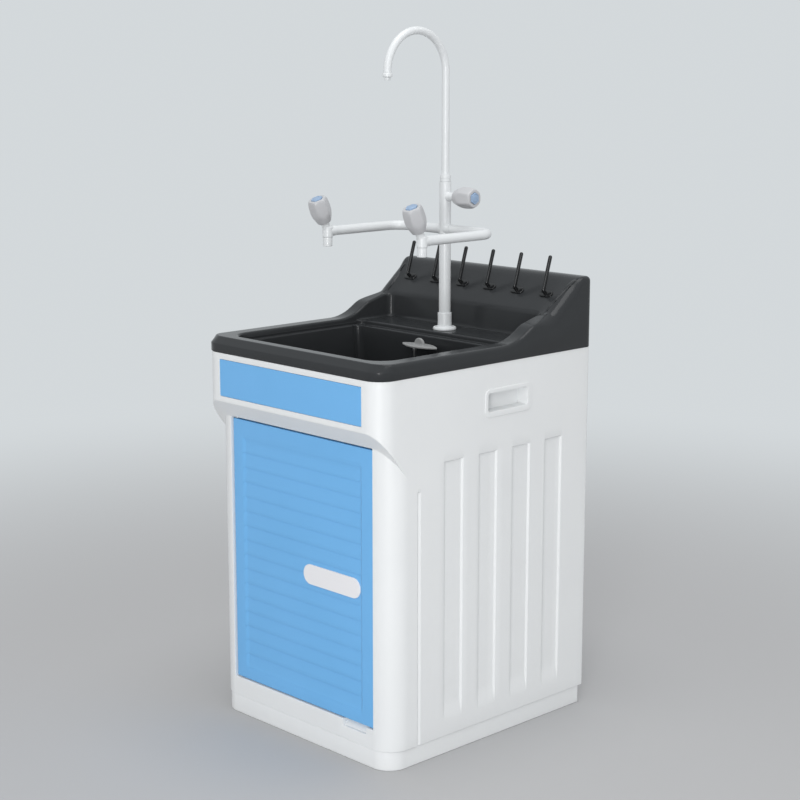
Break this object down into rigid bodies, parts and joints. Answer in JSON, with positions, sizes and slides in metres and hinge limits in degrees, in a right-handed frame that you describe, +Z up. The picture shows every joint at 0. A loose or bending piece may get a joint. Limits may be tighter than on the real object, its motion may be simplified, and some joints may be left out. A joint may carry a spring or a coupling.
{
  "type": "laboratory sink unit",
  "caption": "Free-standing laboratory sink unit: moulded cabinet with a hinged door, black sink top with a raised drying board and pegs, and a swivel gooseneck tap with side outlets.",
  "frame": {"origin": "on the floor, at the middle of the unit's footprint", "axes": "+Z up, the door faces -Y, +X to the right of someone facing the door"},
  "size_m": [0.525, 0.6, 1.4196],
  "materials": {
    "white_moulded_plastic": "satin moulded polypropylene, off-white",
    "blue_moulded_plastic": "satin moulded plastic, light blue",
    "black_sink_plastic": "fine-grained satin moulded polypropylene, black",
    "label_plastic": "plain white plastic plate",
    "white_tap_coating": "white epoxy coating on brass",
    "grey_knob_plastic": "satin grey plastic",
    "blue_cap_plastic": "blue plastic inlay",
    "stainless_steel": "brushed stainless steel",
    "light_grey_plastic": "satin light grey plastic",
    "black_rubber": "matt black rubber"
  },
  "bodies": {
    "cabinet": {"base_plinth": "white_moulded_plastic", "front_frame": "white_moulded_plastic", "left_side_panel": "white_moulded_plastic", "right_side_panel": "white_moulded_plastic", "left_hand_grip": "white_moulded_plastic", "right_hand_grip": "white_moulded_plastic", "back_panel": "white_moulded_plastic", "drain_locknut": "white_moulded_plastic", "drain_tailpiece": "white_moulded_plastic", "trap_head": "white_moulded_plastic", "trap_cup": "white_moulded_plastic", "upper_fascia": "blue_moulded_plastic", "sink_top": "black_sink_plastic", "sink_bowl": "black_sink_plastic", "drying_board": "black_sink_plastic", "drying_peg_1": "black_sink_plastic", "drying_peg_2": "black_sink_plastic", "drying_peg_3": "black_sink_plastic", "drying_peg_4": "black_sink_plastic", "drying_peg_5": "black_sink_plastic", "drying_peg_6": "black_sink_plastic", "tap_base": "white_tap_coating", "tap_column": "white_tap_coating", "swivel_collar": "white_tap_coating", "left_branch_pipe": "white_tap_coating", "right_branch_pipe": "white_tap_coating", "left_valve": "white_tap_coating", "right_valve": "white_tap_coating", "left_outlet": "white_tap_coating", "right_outlet": "white_tap_coating", "drain_flange": "stainless_steel", "tap_locknut": "stainless_steel", "hinge_pin_lower": "stainless_steel", "hinge_pin_upper": "stainless_steel", "catch_magnet": "light_grey_plastic"},
    "door": {"door": "blue_moulded_plastic", "door_back_cover": "white_moulded_plastic", "door_label_plate": "label_plastic", "catch_strike": "stainless_steel"},
    "spout": {"gooseneck_spout": "white_tap_coating", "spout_nozzle": "white_tap_coating"},
    "plug": {"drain_plug": "black_rubber", "plug_rod": "stainless_steel", "plug_handle": "light_grey_plastic"},
    "left_tap_knob": {"left_knob": "grey_knob_plastic", "left_knob_cap": "blue_cap_plastic", "left_spindle": "stainless_steel"},
    "right_tap_knob": {"right_knob": "grey_knob_plastic", "right_knob_cap": "blue_cap_plastic", "right_spindle": "stainless_steel"},
    "upper_tap_knob": {"upper_knob": "grey_knob_plastic", "upper_knob_cap": "blue_cap_plastic", "upper_spindle": "stainless_steel"}
  },
  "joints": [
    {"name": "door_hinge", "type": "hinge", "parent": "cabinet", "child": "door", "pos_m": [-0.204, -0.262, 0.081], "axis": [0, 0, -1], "range_deg": [0, 95]},
    {"name": "spout_swivel", "type": "hinge", "parent": "cabinet", "child": "spout", "pos_m": [0, 0.135, 1.106], "axis": [0, 0, 1], "range_deg": [-90, 90]},
    {"name": "left_knob_turn", "type": "hinge", "parent": "cabinet", "child": "left_tap_knob", "pos_m": [-0.138, -0.07681, 1.02641], "axis": [0, -0.3907, 0.9205], "range_deg": [0, 90]},
    {"name": "right_knob_turn", "type": "hinge", "parent": "cabinet", "child": "right_tap_knob", "pos_m": [0.138, -0.07681, 1.02641], "axis": [0, -0.3907, 0.9205], "range_deg": [0, 90]},
    {"name": "upper_knob_turn", "type": "hinge", "parent": "cabinet", "child": "upper_tap_knob", "pos_m": [0.031, 0.135, 1.076], "axis": [1, 0, 0], "range_deg": [0, 90]},
    {"name": "plug_lift", "type": "slide", "parent": "cabinet", "child": "plug", "axis": [0, 0, 1], "range_m": [0, 0.06]}
  ]
}
